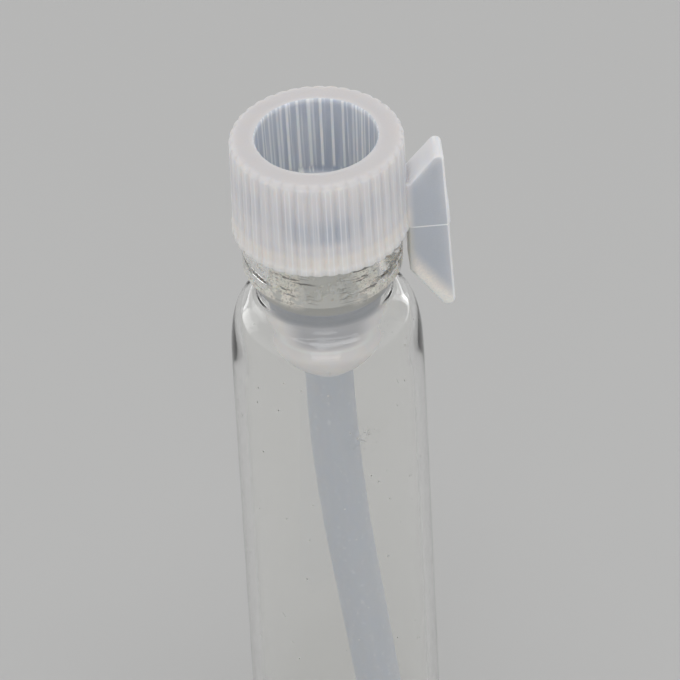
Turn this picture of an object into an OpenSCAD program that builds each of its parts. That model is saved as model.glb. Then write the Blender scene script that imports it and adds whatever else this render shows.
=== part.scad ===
// Glass sample vial with a ribbed push-in stopper and a dipping rod.
// Frame: origin at the middle of the vial's underside, +Z up, the stopper's wing toward +X.
// Units: millimetres.

/* [Glass tube] */
// Outside diameter of the tube
vial_od = 9.5; // [7:0.1:14]
// Height of the glass, underside to lip
vial_h = 35; // [28:0.5:60]
// Wall of the tube
glass_wall = 0.57; // [0.4:0.01:1]
// Thickness of the closed bottom
floor_t = 0.85; // [0.6:0.05:2]
// Rounding of the outside edge at the bottom
base_round = 1.3; // [0.5:0.1:2.5]
// Rounding of the inside edge at the bottom
floor_round = 0.9; // [0.3:0.1:1.5]

/* [Neck and lip] */
// Inside diameter of the neck
bore_d = 5.7; // [4:0.05:7]
// Wall of the neck
neck_wall = 0.55; // [0.4:0.01:1]
// How far the lip stands out past the neck
lip_proud = 0.55; // [0.2:0.01:1]
// Height of the lip band
lip_h = 2.32; // [1:0.02:4]
// Rounding of the lip's upper outside edge
lip_top_round = 0.3; // [0.1:0.05:0.5]
// Rounding under the lip
lip_under_round = 0.25; // [0.1:0.05:0.5]
// Rounding of the bore's mouth
mouth_round = 0.2; // [0.05:0.05:0.4]
// Fillet between neck and lip
neck_fillet = 0.3; // [0.1:0.05:0.5]
// Height of the straight neck, lip to shoulder
neck_h = 1.5; // [0.5:0.05:4]
// Height over which the shoulder turns in to the neck
shoulder_h = 3.9; // [2:0.1:8]

/* [Stopper head] */
// How far the head stands out past the lip
head_overhang = 0.4; // [0.1:0.01:1]
// Height of the head
head_h = 5.3; // [3:0.1:10]
// Number of ribs around the head
rib_count = 40; // [16:1:60]
// Depth of the ribs
rib_depth = 0.08; // [0.05:0.01:0.3]
// Width of the valley between two ribs
rib_gap = 0.07; // [0.03:0.01:0.15]
// Angle of the first rib from the wing
rib_turn = 2.5; // [0:0.5:9]
// How much the head narrows from bottom to top, on the radius
head_draft = 0.05; // [0:0.01:0.15]
// Height of the band around the head's foot
band_h = 0.3; // [0.1:0.05:1]
// How far the band stands out past the head's side
band_proud = 0.05; // [0.02:0.01:0.1]
// Rounding of the head's upper outside edge
rim_round = 0.3; // [0.1:0.05:0.8]
// Diameter of the recess in the top
recess_d = 6; // [3:0.1:8]
// How much the recess narrows to its floor, on the radius
recess_draft = 0.1; // [0:0.01:0.3]
// Rounding of the recess's floor
recess_round = 0.2; // [0.05:0.05:0.6]
// Bevel of the recess's upper edge
recess_bevel = 0.05; // [0.02:0.01:0.2]
// Thickness of the head under the recess
slab_t = 1.1; // [0.5:0.05:2]

/* [Plug and bulb] */
// Length of the plug's tight part below the lip
land_h = 3.4; // [2:0.1:6]
// Length of the taper from the tight part to the bulb
land_taper = 0.6; // [0.2:0.1:1.2]
// Depth of the bulb's centre below the lip
bulb_depth = 6.1; // [5:0.05:10]

/* [Dipping rod] */
// Diameter of the rod at the bulb
rod_d = 2.44; // [1.6:0.02:3.4]
// Diameter of the rod at its tip
rod_tip_d = 2.28; // [1.4:0.02:3.2]
// Radius of the rod's set bend
rod_bend_r = 120; // [60:1:400]
// Height of the bent stretch under the bulb
rod_bend_h = 12; // [4:0.1:16]
// Height of the rod's tip above the glass bottom
rod_rise = 4.2; // [1:0.1:12]
// Rounding of the rod's tip
tip_round = 0.8; // [0.1:0.05:1]

/* [Wing] */
// Thickness of the wing
wing_t = 2; // [1:0.05:3]
// Reach of the wing from the vial's axis, at the parting line
wing_reach = 6.2; // [5.4:0.05:9]
// How much the wing's outer edge leans out toward the bottom, per millimetre of height
wing_lean = 0.033; // [0:0.001:0.06]
// Height of the wing's root above the parting line
wing_root_up = 2.55; // [1:0.05:4]
// Length of the wing's inner edge below the parting line
wing_root_down = 2.7; // [1:0.05:4]
// Rise of the upper slope
wing_rise = 2.02; // [0.5:0.05:4]
// Fall of the lower slope
wing_fall = 3.15; // [0.5:0.05:5]
// Rounding of the wing's upper tip
wing_top_round = 0.3; // [0.1:0.05:0.5]
// Rounding of the wing's lower tip
wing_low_round = 0.35; // [0.1:0.05:0.5]
// Rounding of the wing's lower inside corner
wing_in_round = 0.15; // [0.05:0.05:0.5]
// Height of the gate mark on the wing's edge
gate_h = 1.4; // [0.5:0.1:2]
// How far the gate mark stands out
gate_proud = 0.06; // [0.02:0.01:0.2]

/* [Fits] */
// Clearance between plug and bore, on the radius
plug_clearance = 0.05; // [0.03:0.01:0.2]
// Clearance between bulb and bore, on the radius
bulb_clearance = 0.18; // [0.08:0.01:0.5]
// Clearance between the rod's tip and the bore as the stopper is pulled out, on the radius
tip_clearance = 0.05; // [0.05:0.01:0.8]
// Gap between the head's underside and the lip
seat_gap = 0.05; // [0.03:0.01:0.2]
// Gap between the wing and the lip
wing_gap = 0.25; // [0.1:0.01:0.6]

/* [Hidden] */

round_fn = 96;
lap = 0.2;
glass_c = [0.86, 0.92, 0.93, 0.35];
milky_c = [0.86, 0.87, 0.9];

tube_r = vial_od / 2;
hollow_r = tube_r - glass_wall;
bore_r = bore_d / 2;
neck_r = bore_r + neck_wall;
lip_r = neck_r + lip_proud;
lip_z = vial_h - lip_h;
neck_z = lip_z - neck_h;
shoulder_z = neck_z - shoulder_h;

// Shoulder curves from the tube up to the neck: shares of the step in radius and of the height.
outer_shape = [[0, 0], [0, 0.5], [0.22, 0.79], [0.7, 0.86], [0.9, 0.89], [1, 0.94], [1, 1]];
inner_shape = [[0, 0.1], [0, 0.52], [0.14, 0.65], [0.5, 0.73], [0.75, 0.78], [1, 0.86], [1, 0.975]];

head_r = lip_r + head_overhang;
head_z = vial_h + seat_gap;
head_top = head_z + head_h;
crest_r = head_r - band_proud;
head_core_r = crest_r - rib_depth;
rib_rise = rib_depth + band_proud + head_draft;
rib_half = (2 * PI * head_core_r / rib_count - rib_gap) / 2;
rib_r = (rib_half * rib_half + rib_rise * rib_rise) / (2 * rib_rise);
rib_reach = head_r - rib_r;
recess_r = recess_d / 2;
recess_z = head_z + slab_t;
band_slope = 0.12;

plug_r = bore_r - plug_clearance;
bulb_r = bore_r - bulb_clearance;
bulb_z = vial_h - bulb_depth;
land_z = vial_h - land_h;

// The rod starts inside the bulb, and its straight end is lapped into the bent stretch.
rod_root = 1.6;
rod_lap = 0.5;
rod_step = 0.02;
end_r = rod_d / 2 - rod_step;

// The rod leans where it leaves the bulb, so that its tip passes the bore with tip_clearance.
bend_top = bulb_z - bulb_r;
tip_z = floor_t + rod_rise;
tip_drop = bend_top - tip_z - tip_round;
tip_offset = bore_r - tip_clearance - rod_tip_d / 2;
bend_angle = asin(rod_bend_h / rod_bend_r);
bend_out = rod_bend_r * (1 - cos(bend_angle));
straight_l = sqrt(rod_bend_h * rod_bend_h - 2 * rod_bend_r * bend_out
                  + tip_offset * tip_offset + tip_drop * tip_drop) - rod_bend_h;
rod_lean = atan2(tip_offset, tip_drop)
    - atan2(bend_out + straight_l * sin(bend_angle), rod_bend_h + straight_l * cos(bend_angle));

wing_root = 0.5;
gate_slope = 0.12;
wing_in = lip_r + wing_gap;
wing_top_z = head_z + wing_root_up + wing_rise;
wing_low_z = head_z - wing_root_down - wing_fall;

// Points of an arc, both ends included.
function arc(cx, cy, r, a0, a1, n = 10) =
    [for (i = [0:n]) [cx + r * cos(a0 + (a1 - a0) * i / n), cy + r * sin(a0 + (a1 - a0) * i / n)]];

// Points of a cubic curve between p and s, without its first point.
function curve(p, q, r, s, n = 14) =
    [for (i = [1:n]) let (t = i / n, u = 1 - t)
        u * u * u * p + 3 * u * u * t * q + 3 * u * t * t * r + t * t * t * s];

// Unit vector along v.
function unit(v) = v / norm(v);

// Points that round off corner b of a closed outline. Its neighbours are a and c.
function corner(a, b, c, r, n = 8) =
    let (u = unit(a - b), v = unit(c - b),
         half = acos(u * v) / 2,
         m = b + unit(u + v) * r / sin(half),
         s = b + u * r / tan(half) - m,
         e = b + v * r / tan(half) - m,
         a0 = atan2(s[1], s[0]),
         sweep = atan2(s[0] * e[1] - s[1] * e[0], s * e))
    arc(m[0], m[1], r, a0, a0 + sweep, n);

// Two joined curves through a shoulder shape, from the tube's radius up to the neck's.
function shoulder(shape, tube, neck) =
    let (p = [for (q = shape) [tube + (neck - tube) * q[0], shoulder_z + shoulder_h * q[1]]])
    concat([p[0]], curve(p[0], p[1], p[2], p[3]), curve(p[3], p[4], p[5], p[6], 8));

// The same points in the other order.
function backward(points) = [for (i = [len(points) - 1:-1:0]) points[i]];

// Outside of the glass from the base up to the lip.
function glass_outside() = concat(
    arc(tube_r - base_round, base_round, base_round, -90, 0),
    shoulder(outer_shape, tube_r, neck_r),
    arc(neck_r + neck_fillet, lip_z - neck_fillet, neck_fillet, 180, 90, 6),
    arc(lip_r - lip_under_round, lip_z + lip_under_round, lip_under_round, -90, 0, 6),
    arc(lip_r - lip_top_round, vial_h - lip_top_round, lip_top_round, 0, 90, 6));

// Inside of the glass from the mouth down to the floor.
function glass_inside() = concat(
    arc(bore_r + mouth_round, vial_h - mouth_round, mouth_round, 90, 180, 6),
    backward(shoulder(inner_shape, hollow_r, bore_r)),
    arc(hollow_r - floor_round, floor_t + floor_round, floor_round, 0, -90, 8),
    [[0, floor_t]]);

module vial() {
    color(glass_c)
    rotate_extrude($fn = round_fn)
    polygon(concat([[0, 0]], glass_outside(), glass_inside()));
}

// Ribs around the head, up to its greatest radius.
module ribs() {
    for (i = [0:rib_count - 1])
        rotate(rib_turn + i * 360 / rib_count)
        translate([rib_reach, 0])
        circle(r = rib_r, $fn = 48);
}

// Turned envelope that rounds the ribs off at the rim and ends the band at the foot.
module head_envelope() {
    rotate_extrude($fn = round_fn)
    polygon(concat(
        [[0, head_z], [head_r, head_z], [head_r, head_z + band_h],
         [crest_r, head_z + band_h + band_slope]],
        arc(crest_r - head_draft - rim_round, head_top - rim_round, rim_round, 0, 90),
        [[0, head_top]]));
}

module recess() {
    rotate_extrude($fn = round_fn)
    polygon(concat(
        [[0, recess_z]],
        arc(recess_r - recess_draft - recess_round, recess_z + recess_round, recess_round, -90, 0, 5),
        [[recess_r, head_top - recess_bevel], [recess_r + recess_bevel, head_top],
         [recess_r + recess_bevel, head_top + lap], [0, head_top + lap]]));
}

module head() {
    intersection() {
        union() {
            translate([0, 0, head_z])
            cylinder(h = head_h, r1 = head_core_r, r2 = head_core_r - head_draft, $fn = round_fn);
            translate([0, 0, head_z])
            linear_extrude(head_h)
            ribs();
        }
        head_envelope();
    }
}

// Plug and bulb, turned in one profile.
module plug() {
    rotate_extrude($fn = round_fn)
    polygon(concat(
        [[0, head_z + lap], [plug_r, head_z + lap], [plug_r, land_z], [bulb_r, land_z - land_taper]],
        arc(0, bulb_z, bulb_r, 0, -90, 18)));
}

// Rod, hanging from the middle of its bent stretch's top: a straight start inside the bulb,
// the bent stretch, then the straight tapered end.
module rod() {
    translate([0, 0, bend_top])
    rotate([0, -rod_lean, 0]) {
        cylinder(h = rod_root, r = rod_d / 2, $fn = 64);
        translate([rod_bend_r, 0, 0])
        rotate([90, 0, 0])
        rotate([0, 0, 180])
        rotate_extrude(angle = bend_angle, $fn = 720)
        translate([rod_bend_r, 0])
        circle(r = rod_d / 2, $fn = 64);
        translate([bend_out, 0, -rod_bend_h])
        rotate([0, -bend_angle, 0])
        mirror([0, 0, 1])
        rotate_extrude($fn = 64)
        polygon(concat(
            [[0, -rod_lap], [end_r, -rod_lap], [end_r, 0]],
            arc(rod_tip_d / 2 - tip_round, straight_l, tip_round, 0, 90, 6),
            [[0, straight_l + tip_round]]));
    }
}

// X of the wing's outer edge at a height.
function edge_x(z) = wing_reach + (head_z - z) * wing_lean;

// Upper half of the wing joins the head, the lower half hangs beside the lip.
module wing() {
    hook = head_r - wing_root;
    up_tip = [edge_x(wing_top_z), wing_top_z];
    up_root = [head_r, head_z + wing_root_up];
    low_tip = [edge_x(wing_low_z), wing_low_z];
    low_root = [wing_in, head_z - wing_root_down];
    rotate([90, 0, 0])
    translate([0, 0, -wing_t / 2])
    linear_extrude(wing_t)
    polygon(concat(
        [[hook, head_z], [hook, up_root[1]], up_root],
        corner(up_root, up_tip, low_tip, wing_top_round),
        [[edge_x(head_z + gate_h), head_z + gate_h],
         [edge_x(head_z + gate_h) + gate_proud, head_z + gate_h - gate_slope],
         [edge_x(head_z) + gate_proud, head_z + gate_slope],
         [edge_x(head_z), head_z]],
        corner(up_tip, low_tip, low_root, wing_low_round),
        corner(low_tip, low_root, [wing_in, head_z], wing_in_round, 4),
        [[wing_in, head_z]]));
}

module stopper() {
    color(milky_c)
    difference() {
        union() {
            head();
            plug();
            rod();
            wing();
        }
        recess();
    }
}

vial();
stopper();
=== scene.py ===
"""Looks of a glass sample vial: the glass, its one-piece stopper, and the studio they stand in."""

import logging
import math
from collections import Counter
from collections.abc import Callable, Sequence
from dataclasses import dataclass, field
from enum import Enum
from functools import cached_property

import bmesh
import bpy
from mathutils import Matrix, Vector, noise


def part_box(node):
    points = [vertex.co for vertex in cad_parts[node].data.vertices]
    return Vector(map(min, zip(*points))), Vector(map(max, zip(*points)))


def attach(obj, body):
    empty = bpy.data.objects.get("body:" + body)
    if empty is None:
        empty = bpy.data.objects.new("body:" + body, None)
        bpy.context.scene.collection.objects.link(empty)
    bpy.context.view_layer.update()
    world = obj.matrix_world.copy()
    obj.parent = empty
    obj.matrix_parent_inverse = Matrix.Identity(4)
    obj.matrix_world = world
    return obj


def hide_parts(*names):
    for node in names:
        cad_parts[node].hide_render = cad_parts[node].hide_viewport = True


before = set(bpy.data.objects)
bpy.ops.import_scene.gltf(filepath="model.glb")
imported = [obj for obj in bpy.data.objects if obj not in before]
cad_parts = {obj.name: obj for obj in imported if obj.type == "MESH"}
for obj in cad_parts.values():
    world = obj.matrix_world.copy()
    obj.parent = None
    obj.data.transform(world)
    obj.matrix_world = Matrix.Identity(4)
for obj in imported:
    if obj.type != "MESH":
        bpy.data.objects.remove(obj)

LOG = logging.getLogger("vial")
MM = 0.001
SLIVER = 0.003 * MM
LEVEL = 0.001 * MM
SHARP = math.radians(50)

Point = tuple[float, float]
Span = tuple[float, float]
Colour = tuple[float, float, float]


class Body(Enum):
    """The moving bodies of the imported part."""

    VIAL = "vial"
    STOPPER = "stopper"


class Slot(Enum):
    """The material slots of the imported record."""

    GLASS = "glass"
    MILKY = "milky_plastic"


def arc(x: float, z: float, radius: float, start: float, end: float,
        steps: int) -> list[Point]:
    """Points of an arc, both ends included.

    Args:
        x: Centre's distance from the axis.
        z: Centre's height.
        radius: Radius of the arc.
        start: First angle in degrees.
        end: Last angle in degrees.
        steps: Number of chords.

    Returns:
        The points as (distance from the axis, height).
    """
    turns = [math.radians(start + (end - start) * i / steps) for i in range(steps + 1)]
    return [(x + radius * math.cos(t), z + radius * math.sin(t)) for t in turns]


def cubic(points: Sequence[Point], steps: int) -> list[Point]:
    """Points of a cubic curve, without its first point.

    Args:
        points: Start, two pull points and end.
        steps: Number of chords.

    Returns:
        The points from the first chord's end to the curve's end.
    """
    made = []
    for i in range(1, steps + 1):
        t = i / steps
        share = ((1 - t) ** 3, 3 * t * (1 - t) ** 2, 3 * t * t * (1 - t), t**3)
        made.append(tuple(sum(s * p[k] for s, p in zip(share, points)) for k in (0, 1)))
    return made


def line(start: Point, end: Point, steps: int) -> list[Point]:
    """Points of a straight line, without its first point.

    Args:
        start: Start of the line.
        end: End of the line.
        steps: Number of chords.

    Returns:
        The points from the first chord's end to the line's end.
    """
    return [
        (start[0] + (end[0] - start[0]) * i / steps, start[1] + (end[1] - start[1]) * i / steps)
        for i in range(1, steps + 1)
    ]


def smooth(low: float, high: float, value: float) -> float:
    """Eased step from 0 at low to 1 at high.

    Args:
        low: Value at which the step starts.
        high: Value at which the step ends.
        value: Value to place on the step.

    Returns:
        A share from 0 to 1.
    """
    t = min(max((value - low) / (high - low), 0.0), 1.0)
    return t * t * (3 - 2 * t)


def around(radius: float, turn: float, height: float) -> Vector:
    """The point at a distance from the axis, an angle round it and a height.

    Args:
        radius: The distance.
        turn: The angle in radians.
        height: The height.

    Returns:
        The point.
    """
    return Vector((radius * math.cos(turn), radius * math.sin(turn), height))


class Skin:
    """A closed mesh built ring by ring, in millimetres."""

    def __init__(self) -> None:
        """Starts an empty mesh."""
        self.points: list[Vector] = []
        self.faces: list[list[int]] = []
        self.last: list[int] = []

    def ring(self, points: Sequence[Vector]) -> None:
        """Adds a ring and joins it to the last one.

        Args:
            points: The ring's points, or one point for a pole. Where two neighbouring rings differ,
                the number of points of one divides that of the other.
        """
        new = list(range(len(self.points), len(self.points) + len(points)))
        self.points.extend(points)
        old, self.last = self.last, new
        if not old:
            return
        if len(old) == 1 or len(new) == 1:
            many, pole = (new, old[0]) if len(old) == 1 else (old, new[0])
            self.faces += [[pole, many[i], many[(i + 1) % len(many)]] for i in range(len(many))]
            return
        few, many = (new, old) if len(new) <= len(old) else (old, new)
        step = len(many) // len(few)
        for i, start in enumerate(few):
            side = [many[(i * step + k) % len(many)] for k in range(step + 1)]
            self.faces.append([start, *side, few[(i + 1) % len(few)]])

    def turned(self, profile: Sequence[Point], sides: int,
               shape: Callable[[float, float, float], float] | None = None) -> None:
        """Adds the rings of a turned profile.

        Args:
            profile: Points as (distance from the axis, height). A distance of 0 makes a pole.
            sides: Number of points around.
            shape: Distance from the axis at (distance, angle, height), if it isn't round.
        """
        for radius, height in profile:
            if radius == 0:
                self.ring([Vector((0, 0, height))])
                continue
            ring = []
            for i in range(sides):
                turn = 2 * math.pi * i / sides
                reach = shape(radius, turn, height) if shape else radius
                ring.append(around(reach, turn, height))
            self.ring(ring)

    def mesh(self, name: str) -> bpy.types.Mesh:
        """Makes the Blender mesh, in metres and with its faces turned outward.

        Args:
            name: Name of the mesh.

        Returns:
            The mesh, shaded smooth.
        """
        made = bpy.data.meshes.new(name)
        made.from_pydata([tuple(p * MM) for p in self.points], [], self.faces)
        work = bmesh.new()
        work.from_mesh(made)
        bmesh.ops.recalc_face_normals(work, faces=work.faces)
        work.to_mesh(made)
        work.free()
        made.shade_smooth()
        return made


def remove_slivers(mesh: bpy.types.Mesh) -> None:
    """Removes the slivers that a union leaves, with the doubled faces that they would give.

    Args:
        mesh: The mesh.
    """
    work = bmesh.new()
    work.from_mesh(mesh)
    bmesh.ops.remove_doubles(work, verts=work.verts, dist=SLIVER)
    bmesh.ops.dissolve_degenerate(work, edges=work.edges, dist=SLIVER)
    bmesh.ops.triangulate(work, faces=[f for f in work.faces if len(f.verts) > 4])
    copies = Counter(frozenset(f.verts) for f in work.faces)
    doubled = [f for f in work.faces if copies[frozenset(f.verts)] > 1]
    bmesh.ops.delete(work, geom=doubled, context="FACES")
    bmesh.ops.delete(work, geom=[e for e in work.edges if e.is_wire], context="EDGES")
    work.to_mesh(mesh)
    work.free()


def placed(name: str, data: bpy.types.ID) -> bpy.types.Object:
    """Puts a mesh, lamp or camera into the scene.

    Args:
        name: Name of the object.
        data: The mesh, lamp or camera.

    Returns:
        The object, at the origin.
    """
    made = bpy.data.objects.new(name, data)
    bpy.context.scene.collection.objects.link(made)
    return made


class Value:
    """A shader socket that takes part in Python expressions."""

    def __init__(self, nodes: "Nodes", socket: bpy.types.NodeSocket) -> None:
        """Wraps a socket.

        Args:
            nodes: The node tree that the expressions add to.
            socket: The output socket.
        """
        self.nodes = nodes
        self.socket = socket

    def maths(self, operation: str, *others: "Value | float", first: bool = True) -> "Value":
        """Adds a Math node.

        Args:
            operation: The node's operation.
            others: The other operands.
            first: Whether this value is the first operand, or the last.

        Returns:
            The node's result.
        """
        operands = [self, *others] if first else [*others, self]
        return self.nodes.add("ShaderNodeMath", {"operation": operation}, dict(enumerate(operands)))

    def __add__(self, other: "Value | float") -> "Value":
        """Sum."""
        return self.maths("ADD", other)

    __radd__ = __add__

    def __sub__(self, other: "Value | float") -> "Value":
        """Difference."""
        return self.maths("SUBTRACT", other)

    def __rsub__(self, other: "Value | float") -> "Value":
        """Difference, reflected."""
        return self.maths("SUBTRACT", other, first=False)

    def __mul__(self, other: "Value | float") -> "Value":
        """Product."""
        return self.maths("MULTIPLY", other)

    __rmul__ = __mul__

    def __pow__(self, other: "Value | float") -> "Value":
        """Power."""
        return self.maths("POWER", other)

    def __rpow__(self, other: "Value | float") -> "Value":
        """Power, reflected."""
        return self.maths("POWER", other, first=False)

    def __abs__(self) -> "Value":
        """Size without sign."""
        return self.maths("ABSOLUTE")

    def step(self, span: Span, base: float = 0.0) -> "Value":
        """Eased step from 0 at the span's start to 1 at its end. The start may be the greater.

        Args:
            span: The two ends of the step.
            base: What the ends are counted from.

        Returns:
            The share.
        """
        sockets = {"Value": self, "From Min": base + span[0], "From Max": base + span[1]}
        return self.nodes.add("ShaderNodeMapRange", {"interpolation_type": "SMOOTHSTEP"}, sockets)


class Nodes:
    """Builds the node tree of a material or of the world.

    The Mix node has sockets for several kinds of data. These are its numbers for colours.
    """

    MIX_SHARE, MIX_A, MIX_B = 0, 6, 7
    MIX_RESULT = 2

    def __init__(self, owner: bpy.types.Material | bpy.types.World) -> None:
        """Clears the owner's nodes.

        Args:
            owner: What the nodes belong to.
        """
        self.owner = owner
        owner.use_nodes = True
        self.tree = owner.node_tree
        self.tree.nodes.clear()

    def add(self, kind: str, settings: dict[str, object] | None = None,
            sockets: dict[str | int, object] | None = None,
            output: str | int | None = 0) -> Value | None:
        """Adds a node.

        Args:
            kind: The node's type.
            settings: Its settings, set first.
            sockets: Values or links of its inputs, by name or number.
            output: The output to return, or None.

        Returns:
            The output, wrapped.
        """
        node = self.tree.nodes.new(kind)
        for name, setting in (settings or {}).items():
            setattr(node, name, setting)
        for name, value in (sockets or {}).items():
            if isinstance(value, Value):
                self.tree.links.new(value.socket, node.inputs[name])
            else:
                node.inputs[name].default_value = value
        return None if output is None else Value(self, node.outputs[output])

    def millimetres(self) -> Value:
        """The place on the object in millimetres."""
        place = self.add("ShaderNodeTexCoord", output="Object")
        return self.add("ShaderNodeVectorMath", {"operation": "SCALE"}, {0: place, "Scale": 1 / MM})

    def parts(self, vector: Value) -> tuple[Value, Value, Value]:
        """The three numbers of a vector.

        Args:
            vector: The vector.

        Returns:
            Its X, Y and Z.
        """
        x = self.add("ShaderNodeSeparateXYZ", sockets={0: vector})
        rest = [Value(self, x.socket.node.outputs[i]) for i in (1, 2)]
        return x, rest[0], rest[1]

    def vector(self, x: Value | float, y: Value | float, z: Value | float) -> Value:
        """A vector of three numbers.

        Args:
            x: First number.
            y: Second number.
            z: Third number.

        Returns:
            The vector.
        """
        return self.add("ShaderNodeCombineXYZ", sockets={0: x, 1: y, 2: z})

    def noise(self, place: Value, grain: "Grain") -> Value:
        """Noise from 0 to 1.

        Args:
            place: Where to read it.
            grain: Its scale and octaves.

        Returns:
            The noise.
        """
        return self.add("ShaderNodeTexNoise", sockets={
            "Vector": place, "Scale": grain.scale, "Detail": grain.detail,
            "Roughness": grain.rough})

    def mask(self, place: Value, grain: "Grain") -> Value:
        """Patches of noise, stepped over the grain's own span.

        Args:
            place: Where to read it.
            grain: Its scale, octaves and span.

        Returns:
            The mask.
        """
        return self.noise(place, grain).step(grain.span)

    def blend(self, share: Value | float, low: Value | Colour, high: Value | Colour) -> Value:
        """Mix of two colours.

        Args:
            share: Share of the second colour.
            low: The first colour.
            high: The second colour.

        Returns:
            The mixed colour.
        """
        ends = [c if isinstance(c, Value) else (*c, 1) for c in (low, high)]
        sockets = {self.MIX_SHARE: share, self.MIX_A: ends[0], self.MIX_B: ends[1]}
        return self.add("ShaderNodeMix", {"data_type": "RGBA"}, sockets, self.MIX_RESULT)

    def bump(self, height: Value, strength: float, depth: float) -> Value:
        """A normal bent by a height.

        Args:
            height: The height, from 0 to 1.
            strength: How strongly it bends.
            depth: What a height of 1 stands for, in metres.

        Returns:
            The normal.
        """
        sockets = {"Height": height, "Strength": strength, "Distance": depth}
        return self.add("ShaderNodeBump", sockets=sockets)

    def finish(self, surface: Value) -> bpy.types.Material | bpy.types.World:
        """Sends a shader to the output.

        Args:
            surface: The shader.

        Returns:
            The owner.
        """
        kind = "World" if isinstance(self.owner, bpy.types.World) else "Material"
        self.add(f"ShaderNodeOutput{kind}", sockets={"Surface": surface}, output=None)
        return self.owner


def tint(red: float, green: float, blue: float) -> Colour:
    """A colour as a shader takes it.

    Args:
        red: Red as shown, from 0 to 1.
        green: Green as shown, from 0 to 1.
        blue: Blue as shown, from 0 to 1.

    Returns:
        The linear colour.
    """
    return tuple(((shown + 0.055) / 1.055) ** 2.4 for shown in (red, green, blue))


# Pale colour of painted highlights; also of the rod's scuffs and the bulb's light line.
LINE = tint(0.96, 0.965, 0.97)
# Painted shade where the hollow shows through the thin wall; also the random darker cloud.
HOLLOW_SHADE_AND_CLOUD = tint(0.80, 0.81, 0.84)
# Painted shade in the middle of the head's side and in the recess.
SHADE = tint(0.73, 0.757, 0.80)
# Painted light on the wing's upward faces; also the random lighter flecks.
EDGE = tint(0.90, 0.90, 0.905)


@dataclass(frozen=True)
class Grain:
    """Noise: lumps per unit, octaves, strength of the finer ones, and the span of its mask."""

    scale: float
    detail: float = 3.0
    rough: float = 0.5
    span: Span = (0.0, 1.0)


@dataclass(frozen=True)
class ClearGlass:
    """Clear glass, very slightly warm, with specks of dust and a faint smudge."""

    tone: Colour = (0.99, 0.99, 0.98)
    dust: Colour = (0.62, 0.62, 0.6)
    lamp_share: Colour = (0.93, 0.93, 0.92)
    ior: float = 1.48
    speck_spacing: float = 1.1
    speck_size: float = 0.06
    speck_haze: float = 0.7
    speckled: Grain = Grain(0.7, 1.0, span=(0.42, 0.5))
    smudge: tuple[float, float, float] = (1.45, -4.5, 25.0)
    smudge_reach: Span = (1.8, 0.3)
    smudge_haze: float = 0.35
    smudge_streaks: Grain = Grain(3.0, 4.0, 0.7, (0.45, 0.7))

    def make(self) -> bpy.types.Material:
        """Builds the material.

        Returns:
            The material.
        """
        nodes = Nodes(bpy.data.materials.new("clear_glass"))
        place = nodes.millimetres()
        haze = self.specks(nodes, place).maths("MAXIMUM", self.smear(nodes, place))
        glass = nodes.add("ShaderNodeBsdfPrincipled", sockets={
            "Base Color": nodes.blend(haze, self.tone, self.dust),
            "Transmission Weight": 1.0,
            "Roughness": haze,
            "IOR": self.ior,
        })
        clear = nodes.add("ShaderNodeBsdfTransparent", sockets={"Color": (*self.lamp_share, 1)})
        for ray in ("Is Shadow Ray", "Is Diffuse Ray"):
            passes = nodes.add("ShaderNodeLightPath", output=ray)
            glass = nodes.add("ShaderNodeMixShader", sockets={0: passes, 1: glass, 2: clear})
        return nodes.finish(glass)

    def specks(self, nodes: Nodes, place: Value) -> Value:
        """Roughness of scattered dust.

        Args:
            nodes: The node tree.
            place: The place in millimetres.

        Returns:
            The roughness.
        """
        cells = nodes.add("ShaderNodeTexVoronoi",
                          sockets={"Vector": place, "Scale": 1 / self.speck_spacing})
        rare = nodes.mask(place, self.speckled)
        return cells.step((self.speck_size, self.speck_size / 2)) * rare * self.speck_haze

    def smear(self, nodes: Nodes, place: Value) -> Value:
        """Roughness of a finger's smudge.

        Args:
            nodes: The node tree.
            place: The place in millimetres.

        Returns:
            The roughness.
        """
        sockets = {0: place, 1: self.smudge}
        away = nodes.add("ShaderNodeVectorMath", {"operation": "DISTANCE"}, sockets, "Value")
        streaks = nodes.mask(place, self.smudge_streaks)
        return away.step(self.smudge_reach) * streaks * self.smudge_haze


@dataclass(frozen=True)
class Surface:
    """Where a point of the stopper is, as sockets in millimetres and radians."""

    point: Value
    x: Value
    z: Value
    square: Value
    out: Value
    turn: Value
    streak: Value

    @classmethod
    def of(cls, nodes: Nodes, streaks: Grain, pull: Point) -> "Surface":
        """Reads the places.

        Args:
            nodes: The node tree.
            streaks: Noise that is drawn out along the height.
            pull: Its lumps per radian and per millimetre of height.

        Returns:
            The places, with the streaks.
        """
        point = nodes.millimetres()
        x, y, z = nodes.parts(point)
        square = x * x + y * y
        turn = y.maths("ARCTAN2", x)
        streak = nodes.noise(nodes.vector(turn * pull[0], z * pull[1], 0.0), streaks)
        return cls(point, x, z, square, square**0.5, turn, streak)


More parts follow.
